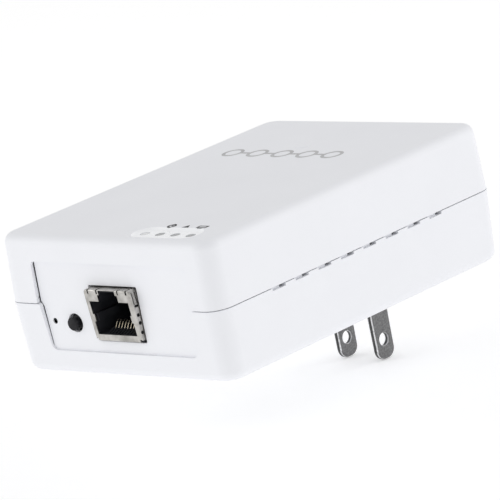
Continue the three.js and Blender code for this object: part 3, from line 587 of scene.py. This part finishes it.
def vent_cutters():
    notches, holes = [], []
    for side in (-1, 1):
        for i in range(VENT_COUNT):
            y = VENT_FIRST + i * VENT_PITCH
            outer = side * (HALF_WIDTH + 2)
            lip = side * (HALF_WIDTH - LIP_INSET)
            inner = side * (HALF_WIDTH - 2 * WALL)
            low_z, high_z = SPLIT - VENT_HEIGHT, SPLIT + 0.5
            rear = y + VENT_LENGTH / 2
            notches.append(block("notch", (min(outer, lip), y - VENT_LENGTH / 2, low_z),
                                 (max(outer, lip), rear, high_z)))
            holes.append(block("hole", (min(outer, inner), rear - VENT_HOLE, low_z),
                               (max(outer, inner), rear, high_z)))
    return joined("notches", notches), joined("vent_holes", holes)


def pedestal_outline(inset):
    corner = PEDESTAL_CORNER - inset
    steps = 4 if inset else 8
    width, length = PEDESTAL_WIDTH - 2 * inset, PEDESTAL_LENGTH - 2 * inset
    return rounded_rectangle(0, 0, width, length, corner, steps)


def at_screws(radius, low, high):
    """A round column at each of the cover's screws."""
    columns = []
    for x, y in screw_places():
        columns.append(prism("column", circle(x, y, radius, 32), low, high))
    return joined("columns", columns)


def build_bottom_cover():
    top = SPLIT - SPLIT_GAP / 2
    lip_top = SPLIT + LIP_RISE
    rim = [
        housing_ring(WALL, lip_top, UNDERSIDE),
        housing_ring(LIP_INSET, lip_top, UNDERSIDE),
        housing_ring(LIP_INSET, top, UNDERSIDE),
        housing_ring(0, top, UNDERSIDE),
    ]
    cover = loft("bottom_cover_skin", cover_rings(-1, UNDERSIDE, 0, rim))
    combine(cover, prism("pedestal", pedestal_outline(0), 0, UNDERSIDE + 1), "UNION")
    combine(cover, prism("hollow", pedestal_outline(PEDESTAL_WALL), PEDESTAL_FLOOR, UNDERSIDE + 4))
    cut_panel_opening(cover, lower_opening)
    for cutter in vent_cutters():
        combine(cover, cutter)
    combine(cover, at_screws(BOSS_RADIUS, UNDERSIDE + 1, UNDERSIDE + BOSS_HEIGHT), "UNION")
    combine(cover, at_screws(WELL_RADIUS, UNDERSIDE - 2, UNDERSIDE + WELL_DEPTH))
    slots = []
    for node in ("blade_left", "blade_right"):
        low, high = box_mm(node)
        x = (low.x + high.x) / 2
        outline = rounded_rectangle(x, 0, BLADE_SLOT_WIDTH, BLADE_SLOT_LENGTH, 0.3, 3)
        slots.append(prism("slot", outline, -2, 6))
    combine(cover, joined("slots", slots))
    round_edges(cover, 0.14, 2, where=lambda middle, edge: abs(middle.y - PANEL_FACE) > 0.1)
    return finish_piece(cover, "bottom_shell", WHITE, nodes=["bottom_cover"])


def build_panel():
    """Its top and bottom edges lie behind the covers, and its sides leave a narrow slot."""
    low, high = box_mm("port_panel")
    right = [
        (PANEL_HALF_BOTTOM - 0.3, PANEL_BOTTOM - PANEL_OVERLAP),
        (PANEL_HALF_BELOW - 0.25, SPLIT - 0.8),
        (PANEL_HALF_ABOVE - 0.3, SPLIT + 0.4),
        (PANEL_HALF_TOP - 0.4, PANEL_TOP + PANEL_OVERLAP),
    ]
    panel = prism("panel", mirrored(right), low.y, high.y, "y")
    jack = (JACK_LOW + JACK_HIGH) / 2
    size = JACK_HIGH - JACK_LOW
    button_low, button_high = box_mm("pair_button")
    button = (button_low + button_high) / 2
    reset_low, reset_high = box_mm("reset_button")
    reset = (reset_low + reset_high) / 2
    front, back = low.y - 2, high.y + 2
    relief = low.y + PIN_RELIEF_DEPTH
    cuts = (
        ("jack_hole", rounded_rectangle(jack.x, jack.z, size.x + 0.5, size.z + 0.6, 0.3, 3), front),
        ("button_hole", circle(button.x + BUTTON_SHIFT, button.z, BUTTON_HOLE_RADIUS, 48), front),
        ("pin_hole", circle(reset.x, reset.z, PIN_HOLE_RADIUS, 32), front),
        ("relief", circle(reset.x, reset.z, PIN_RELIEF_RADIUS, 32), relief),
    )
    for name, outline, start in cuts:
        combine(panel, prism(name, outline, start, back, "y"))
    round_edges(panel, 0.16, 3)
    return finish_piece(panel, "panel_plate", WHITE_PANEL, nodes=["port_panel"])


# ---- Button and lenses --------------------------------------------------------------------------

def build_button():
    """A domed head on a narrower stem, standing out of a dark hole."""
    low, high = box_mm("pair_button")
    radius = (high.x - low.x) / 2
    head = BUTTON_HEAD * radius
    profile = [(0, low.y)]
    for i in range(1, 9):
        share = i / 8
        profile.append((0.86 * head * share, low.y + 0.12 * share * share))
    profile += [(0.94 * head, low.y + 0.2), (head, low.y + 0.36), (head, low.y + 0.62)]
    profile += [(0.96 * head, low.y + 0.72), (0.72 * radius, low.y + 0.76)]
    profile += [(0.72 * radius, PANEL_FACE + 0.5), (radius, PANEL_FACE + 0.6)]
    profile += [(radius, high.y - 0.1), (radius - 0.1, high.y), (0, high.y)]
    button = turned("button", profile, 64, "y")
    middle = (low.x + high.x) / 2 + BUTTON_SHIFT
    button.data.transform(Matrix.Translation((middle, 0, (low.z + high.z) / 2)))
    return finish_piece(button, "button_cap", BUTTON, "pair_plunger", ["pair_button"], 50)


def build_lenses():
    floor = TOP - RECESS_DEPTH
    foot, rim = floor - LENS_LENGTH, floor - LENS_RIM
    for i in range(LIGHT_COUNT):
        crown = 0.16 if i == 0 else 0.05
        profile = [(0, foot), (LENS_RADIUS, foot), (LENS_RADIUS, rim)]
        for k in range(7):
            angle = math.radians(15 * k)
            profile.append((LENS_RADIUS * math.cos(angle), rim + crown * math.sin(angle)))
        lens = turned("lens", profile, 40)
        lens.data.transform(Matrix.Translation((lens_x(i), LENS_Y, 0)))
        material = LENS_WHITE if i == 0 else LENS_OFF
        finish_piece(lens, f"light_window_{i + 1}", material)


# ---- Network socket -----------------------------------------------------------------------------

JACK_X = (JACK_LOW.x + JACK_HIGH.x) / 2
JACK_Z = (JACK_LOW.z + JACK_HIGH.z) / 2
JACK_HALF_X = (JACK_HIGH.x - JACK_LOW.x) / 2
JACK_HALF_Z = (JACK_HIGH.z - JACK_LOW.z) / 2
JACK_DEPTH = JACK_HIGH.y - JACK_LOW.y
JACK_FRONT = JACK_LOW.y - 0.15
# How far forward the socket comes for each millimetre of height
JACK_LEAN = 0.095
SHEET = 0.3
SHEET_BEND = 0.4
MOUTH_HALF = 6.65
MOUTH_TAB = 0.45
MOUTH_FLOOR = -4.9
CAVITY_HALF = 6.6
CAVITY_DEPTH = 12.6
CONTACT_COUNT = 8
CONTACT_PITCH = 1.02
COMB_HALF_WIDTH = 0.3
WIRE_RADIUS = 0.13
WIRE_EMERGES = 3.2


def contact_x(index):
    return (index - (CONTACT_COUNT - 1) / 2) * CONTACT_PITCH


def at_jack(obj):
    """Sets a piece in the socket's place. The socket leans forward a little on its board."""
    lean = Matrix.Identity(4)
    lean[1][2] = -JACK_LEAN
    obj.data.transform(Matrix.Translation((JACK_X, JACK_FRONT, JACK_Z)) @ lean)
    return obj


def mouth_outline(main, tab, grow=0.0):
    """The socket's mouth: main is the half width, tab the half width between the side tabs."""
    right = [
        (main, MOUTH_FLOOR - grow), (main, -1.6), (tab, -1.6), (tab, 0.3), (main, 0.3), (main, 3.6 + grow),
        (3.35 + grow, 3.6 + grow), (3.35 + grow, 5.3 + grow), (2.75 + grow, 5.3 + grow), (2.75 + grow, 6.52),
    ]
    return right + [(-x, z) for x, z in reversed(right)]


def shield_slits():
    """Cuts where the sheet folds over the top edge and at the two lower corners."""
    cuts = []
    for x, half, back in ((-6.4, 0.2, 1.4), (-3.4, 0.26, 2.6), (3.8, 0.2, 1.4), (6.7, 0.26, 2.6)):
        cuts.append(block("slit", (x - half, -1, 5.6), (x + half, back, 8)))
    for x in (-7.5, 7.5):
        cuts.append(prism("relief", circle(x, -6.2, 0.36, 16), -1, 1, "y"))
    return cuts


def shield_side_openings():
    """Holes down both sides, and the slots that free a spring finger on each side."""
    holes = []
    for y, z in ((0.95, 0.3), (0.85, -1.7), (0.75, -4.1)):
        holes.append(prism("hole", circle(y, z, 0.48, 16), -9, 9, "x"))
    holes.append(prism("slot", rounded_rectangle(1.15, 2.6, 1.3, 0.6, 0.25, 4), -9, 9, "x"))
    for low_y, high_y in ((0.5, 0.76), (1.5, 1.8)):
        holes.append(block("groove", (-9, low_y, 3.05), (9, high_y, 6.1)))
    return holes


def build_shield():
    outline = rounded_rectangle(0, 0, 2 * JACK_HALF_X, 2 * JACK_HALF_Z, 1.0, 5)
    body = prism("shield", outline, 0, JACK_DEPTH, "y")
    round_edges(body, SHEET_BEND, 4, where=lambda middle, edge: middle.y < 0.1)
    inner_x, inner_z = JACK_HALF_X - SHEET, JACK_HALF_Z - SHEET
    hollow = rounded_rectangle(0, -2, 2 * inner_x, 2 * inner_z + 4, 0.7, 4)
    combine(body, prism("inner", hollow, SHEET, JACK_DEPTH - SHEET, "y"))
    mouth = mouth_outline(MOUTH_HALF, MOUTH_HALF - MOUTH_TAB, 0.05)
    combine(body, prism("mouth", mouth, -2, 1.2, "y"))
    combine(body, joined("slits", shield_slits()))
    for hole in shield_side_openings():
        combine(body, hole)
    round_edges(body, 0.06, 2, angle=50)
    return finish_piece(at_jack(body), "socket_shield", SHIELD, nodes=["jack_shield"])


def build_socket_body():
    """The black insulator: a plug cavity with a side rail each side and a comb for the wires."""
    skin = SHEET + 0.06
    depth = box_mm("jack_housing")[1].y - JACK_LOW.y
    body = block("insulator", (-JACK_HALF_X + skin, skin, -JACK_HALF_Z + 0.1),
                 (JACK_HALF_X - skin, depth, JACK_HALF_Z - skin))
    wide = [
        (CAVITY_HALF, MOUTH_FLOOR), (CAVITY_HALF, 3.6), (3.35, 3.6), (3.35, 5.3), (2.75, 5.3), (2.75, 6.1),
    ]
    outline = wide + [(-x, z) for x, z in reversed(wide)]
    combine(body, prism("cavity", outline, -1, CAVITY_DEPTH, "y"))
    combine(body, block("well", (-4.6, 11.6, -7), (4.6, 15.2, -0.6)))
    slots = []
    for i in range(CONTACT_COUNT):
        x = contact_x(i)
        slots.append(block("slot", (x - COMB_HALF_WIDTH, 0.9, -5.6), (x + COMB_HALF_WIDTH, 12.0, -4)))
    combine(body, joined("slots", slots))
    for side in (-1, 1):
        near, far = sorted((side * 5.7, side * 6.8))
        combine(body, block("rail", (near, 0.7, -1.6), (far, 8.0, 0.3)), "UNION")
    slope = [
        (0.6, -4.95), (WIRE_EMERGES, -3.95), (WIRE_EMERGES + 0.4, -4.2),
        (WIRE_EMERGES + 0.4, -5.8), (0.6, -5.8),
    ]
    ribs = []
    for i in range(CONTACT_COUNT + 1):
        x = contact_x(i - 0.5)
        ribs.append(prism("rib", slope, x - COMB_HALF_WIDTH, x + COMB_HALF_WIDTH, "x"))
    combine(body, joined("comb", ribs), "UNION")
    round_edges(body, 0.1, 2, angle=50)
    return finish_piece(at_jack(body), "socket_body", BLACK, nodes=["jack_housing"])


def build_contact(index):
    """A round spring wire: it rises out of the comb, bends over and goes down behind."""
    curve = bpy.data.curves.new("contact", "CURVE")
    curve.dimensions = "3D"
    curve.bevel_depth = WIRE_RADIUS
    curve.bevel_resolution = 3
    curve.use_fill_caps = True
    spline = curve.splines.new("BEZIER")
    route = [
        (1.0, -5.4), (WIRE_EMERGES - 0.6, -4.9), (WIRE_EMERGES, -4.1), (4.4, -2.7), (5.0, -2.4), (5.7, -3.1),
        (6.5, -4.5), (12.8, -5.0), (13.8, -5.4), (13.8, -6.4),
    ]
    spline.bezier_points.add(len(route) - 1)
    for point, (y, z) in zip(spline.bezier_points, route):
        point.co = (0, y, z)
        point.handle_left_type = "AUTO"
        point.handle_right_type = "AUTO"
    wire = bpy.data.objects.new("contact", curve)
    bpy.context.scene.collection.objects.link(wire)
    graph = bpy.context.evaluated_depsgraph_get()
    mesh = bpy.data.meshes.new_from_object(wire.evaluated_get(graph))
    bpy.data.objects.remove(wire)
    obj = bpy.data.objects.new("contact", mesh)
    bpy.context.scene.collection.objects.link(obj)
    obj.data.transform(Matrix.Translation((contact_x(index), 0, 0)))
    name = f"contact_wire_{index + 1}"
    return finish_piece(at_jack(obj), name, GOLD, nodes=[f"jack_contact_{index + 1}"])


# ---- Plug ---------------------------------------------------------------------------------------

def build_blade(node, name):
    low, high = box_mm(node)
    x = (low.x + high.x) / 2
    thickness = high.x - low.x
    half, radius, tip = BLADE_HALF_WIDTH, BLADE_TIP_RADIUS, low.z
    outline = [
        (half, 2.6), (4.5, 2.6), (4.5, 4.1), (2, 4.1), (2, high.z),
        (-2, high.z), (-2, 4.1), (-4.5, 4.1), (-4.5, 2.6), (-half, 2.6),
    ]
    outline += arc(-half + radius, tip + radius, radius, 180, 270, 10)
    outline += arc(half - radius, tip + radius, radius, 270, 360, 10)
    blade = prism("blade", outline, -thickness / 2, thickness / 2, "x")
    hole = prism("hole", circle(0, BLADE_HOLE_Z, BLADE_HOLE_RADIUS, 40), -4, 4, "x")
    combine(blade, hole)
    round_edges(blade, 0.42, 2, angle=50, where=lambda middle, edge: middle.z < 0)
    blade.data.transform(Matrix.Translation((x, 0, 0)))
    return finish_piece(blade, name, NICKEL_PAINTED_LIGHT, nodes=[node])


def build_screw(index):
    node = f"cover_screw_{index + 1}"
    low, high = box_mm(node)
    head_radius, shank_radius, head = 2.5, 1.25, low.z + 1.9
    profile = [
        (0, low.z), (1.9, low.z), (2.3, low.z + 0.12), (head_radius, low.z + 0.45), (head_radius, head),
        (shank_radius, head), (shank_radius, high.z - 1.2), (0.3, high.z), (0, high.z),
    ]
    screw = turned("screw", profile, 40)
    for half_x, half_y in ((1.55, 0.32), (0.32, 1.55)):
        combine(screw, block("bar", (-half_x, -half_y, low.z - 1), (half_x, half_y, low.z + 1.1)))
    x, y = screw_places()[index]
    screw.data.transform(Matrix.Translation((x, y, 0)))
    return finish_piece(screw, f"housing_screw_{index + 1}", ZINC, nodes=[node])


def build_label():
    low, high = box_mm("rating_label")
    centre = (low + high) / 2
    outline = rounded_rectangle(centre.x, centre.y, high.x - low.x, high.y - low.y, 1.5, 8)
    label = prism("label", outline, low.z, high.z + 0.08)
    round_edges(label, 0.04, 1)
    return finish_piece(label, "blank_label", LABEL, nodes=["rating_label"])


# ---- Printed marks ------------------------------------------------------------------------------

INK_HEIGHT = 0.025
SYMBOL_LEFT = -21.1
SYMBOL_PITCH = 8.55
SYMBOL_RADIUS = 3.0
SYMBOL_LINE = 0.95
SYMBOL_Y = MIDDLE + 20.1
MARKS_Y = MIDDLE - 38.4
DOME_RADIUS = 2.1
DOME_RISE = 0.3
DOME_X = -3.0
DOME_Y = MIDDLE + 26.8


def printed(name, outlines, height, material):
    """Flat ink shapes a hair above the plastic; a ring is a pair of outer and inner outlines."""
    pieces = []
    for outer, inner in outlines:
        shape = prism("ink", outer, height - 0.05, height + INK_HEIGHT)
        if inner:
            combine(shape, prism("inner", inner, height - 1, height + 1))
        pieces.append(shape)
    return finish_piece(joined("ink", pieces), name, material)


def ring_mark(cx, cy, radius, line):
    return circle(cx, cy, radius, 40), circle(cx, cy, radius - line, 40)


def bar_mark(x0, x1, y0, y1):
    return [(x0, y0), (x1, y0), (x1, y1), (x0, y1)], None


def build_network_symbol():
    """Five rings in a row, joined by bars."""
    y, radius, line = SYMBOL_Y, SYMBOL_RADIUS, SYMBOL_LINE
    centres = [SYMBOL_LEFT + i * SYMBOL_PITCH for i in range(5)]
    outlines = [ring_mark(x, y, radius, line) for x in centres]
    for left, right in zip(centres, centres[1:]):
        outlines.append(bar_mark(left + radius - 0.05, right - radius + 0.05, y - line / 2, y + line / 2))
    printed("network_symbol", outlines, TOP, INK)


def build_status_marks():
    """A ring with a bar, a triangle and a socket outline, behind the last three lights."""
    y = MARKS_Y
    power_x, link_x, port_x = (lens_x(i) for i in (1, 2, 3))
    power = [ring_mark(power_x, y, 1.25, 0.6), bar_mark(power_x - 0.3, power_x + 0.3, y - 0.1, y + 1.5)]
    arrow = [(link_x - 1.1, y - 0.8), (link_x + 1.1, y - 0.8), (link_x, y + 1.0)]
    port = [
        bar_mark(port_x - 1.6, port_x + 1.6, y + 0.45, y + 0.9),
        bar_mark(port_x - 1.6, port_x + 1.6, y - 0.7, y - 0.25),
        bar_mark(port_x - 1.6, port_x - 1.15, y - 0.3, y + 0.5),
        bar_mark(port_x + 1.15, port_x + 1.6, y - 0.3, y + 0.5),
        bar_mark(port_x - 0.8, port_x + 0.8, y - 1.15, y - 0.9),
    ]
    printed("power_mark", power, TOP, DARK_INK)
    printed("link_mark", [(arrow, None)], TOP, DARK_INK)
    printed("port_mark", port, TOP, DARK_INK)


def build_dome():
    """A plain low dome moulded into the top behind the printed symbol."""
    rim = TOP + 0.02
    profile = [(0, TOP - 0.1), (DOME_RADIUS, TOP - 0.1), (DOME_RADIUS, rim)]
    for k in range(1, 7):
        angle = math.radians(15 * k)
        profile.append((DOME_RADIUS * math.cos(angle), rim + DOME_RISE * math.sin(angle)))
    dome = turned("dome", profile, 48)
    dome.data.transform(Matrix.Translation((DOME_X, DOME_Y, 0)))
    return finish_piece(dome, "plain_dome", WHITE)


# ---- Inner parts: CAD nodes with their own materials ---------------------------------------------

def inner_materials():
    return {
        "board_laminate": surface("solder_mask", (0.012, 0.09, 0.04), (0.02, 0.13, 0.06), 0.35,
                                  grain=0.4, bump=0.01, tone=3, coat=0.4),
        "epoxy_coat": surface("dipped_blue", (0.02, 0.1, 0.3), (0.03, 0.14, 0.38), 0.3,
                              grain=0.3, bump=0.02, tone=2, coat=0.4),
        "film_case": surface("film_yellow", (0.62, 0.42, 0.05), (0.7, 0.5, 0.08), 0.45,
                             grain=0.2, bump=0.01, tone=3),
        "ferrite": surface("ferrite_grey", (0.03, 0.03, 0.033), (0.05, 0.05, 0.053), 0.6,
                           grain=0.25, bump=0.02, tone=2),
        "copper_wire": surface("enamelled_copper", (0.5, 0.16, 0.05), (0.66, 0.26, 0.1), 0.3,
                               grain=0.5, bump=0.05, tone=2, metallic=1.0, stretch=(0.2, 0.2, 1)),
        "winding_tape": surface("winding_tape", (0.7, 0.5, 0.06), (0.78, 0.58, 0.1), 0.25,
                                grain=0.6, bump=0.01, tone=4, coat=0.6),
        "sink_aluminium": surface("extruded_aluminium", (0.55, 0.56, 0.57), (0.68, 0.69, 0.7), 0.38,
                                  grain=0.3, bump=0.01, tone=3, metallic=1.0, stretch=(1, 0.08, 1)),
        "silicone_pad": surface("silicone_pad", (0.22, 0.27, 0.33), (0.28, 0.33, 0.4), 0.8,
                                grain=0.2, bump=0.02, tone=2),
        "clear_plastic": surface("clear_moulding", (0.7, 0.74, 0.76), (0.78, 0.81, 0.83), 0.15,
                                 grain=0.5, bump=0.004, tone=4, coat=0.6),
        "white_sleeve": surface("white_sleeve", (0.74, 0.74, 0.73), (0.8, 0.8, 0.79), 0.4,
                                grain=0.3, bump=0.01, tone=2),
        "black_plastic": BLACK,
        "screw_zinc": ZINC,
        "shield_metal": SHIELD,
        "contact_gold": GOLD,
        "blade_nickel": NICKEL_PAINTED_LIGHT,
        "label_paper": LABEL,
        "housing_plastic": WHITE,
    }


def dress_nodes():
    looks = inner_materials()
    for row in frame["record"]["subparts"]:
        node = frame["nodes"][row["node"]]
        for place in node.material_slots:
            place.material = looks[row["material_slot"]]


# ---- Stage --------------------------------------------------------------------------------------

AIM = Vector((-1.7, -31.2, 21.5)) * MM
CAMERA_DISTANCE = 1200 * MM
CAMERA_FORWARD = Vector((-0.70035, 0.67413, -0.23466)).normalized()
CAMERA_ROLL = math.radians(-11.51)
CAMERA_LENS = 350.7
WORLD_STRENGTH = 0.72
LIGHT_SIZE = 0.8
LIGHT_POWER = 2.45
FLOOR_GAP = 0.0002
FLOOR_GLOW = 0.27


def build_camera():
    camera = bpy.data.objects.new("camera", bpy.data.cameras.new("camera"))
    camera.data.lens = CAMERA_LENS
    camera.data.sensor_width = 36
    camera.data.clip_start = 0.05
    camera.data.clip_end = 100
    level = CAMERA_FORWARD.cross(Vector((0, 0, 1))).normalized()
    upright = level.cross(CAMERA_FORWARD)
    right = level * math.cos(CAMERA_ROLL) + upright * math.sin(CAMERA_ROLL)
    up = right.cross(CAMERA_FORWARD)
    turn = Matrix((right, up, -CAMERA_FORWARD)).transposed().to_4x4()
    camera.matrix_world = Matrix.Translation(AIM - CAMERA_FORWARD * CAMERA_DISTANCE) @ turn
    bpy.context.scene.collection.objects.link(camera)
    bpy.context.scene.camera = camera


def build_light(name, place):
    data = bpy.data.lights.new(name, "AREA")
    data.shape = "SQUARE"
    data.size = LIGHT_SIZE
    data.energy = LIGHT_POWER
    light = bpy.data.objects.new(name, data)
    light.location = place
    light.rotation_euler = (AIM - Vector(place)).to_track_quat("-Z", "Y").to_euler()
    bpy.context.scene.collection.objects.link(light)


def build_stage():
    world = bpy.data.worlds.new("studio")
    bpy.context.scene.world = world
    world.use_nodes = True
    world.node_tree.nodes["Background"].inputs["Color"].default_value = (1, 1, 1, 1)
    world.node_tree.nodes["Background"].inputs["Strength"].default_value = WORLD_STRENGTH
    build_light("front_box", (-0.95, -0.75, 0.42))
    build_light("side_box", (0.75, 0.9, 0.42))
    bm = bmesh.new()
    bmesh.ops.create_grid(bm, x_segments=1, y_segments=1, size=20)
    floor = object_from(bm, "floor")
    floor.location.z = CAD_BOX[0].z - FLOOR_GAP
    material, tree, shader = new_material("floor_white")
    tone = object_noise(tree, 3.0)
    white = ramp_between(tree, tone.outputs["Fac"], (0.9, 0.9, 0.9), (0.92, 0.92, 0.92))
    tree.links.new(white, shader.inputs["Base Color"])
    shader.inputs["Roughness"].default_value = 0.9
    shader.inputs["Emission Color"].default_value = (1, 1, 1, 1)
    shader.inputs["Emission Strength"].default_value = FLOOR_GLOW
    floor.data.materials.append(material)
    bpy.context.scene.view_settings.view_transform = "Standard"


build_camera()
build_stage()
dress_nodes()
build_top_cover()
build_bottom_cover()
build_panel()
build_button()
build_lenses()
build_shield()
build_socket_body()
for contact in range(CONTACT_COUNT):
    build_contact(contact)
build_blade("blade_left", "plug_blade_left")
build_blade("blade_right", "plug_blade_right")
for screw in range(SCREW_COUNT):
    build_screw(screw)
build_label()
build_network_symbol()
build_status_marks()
build_dome()
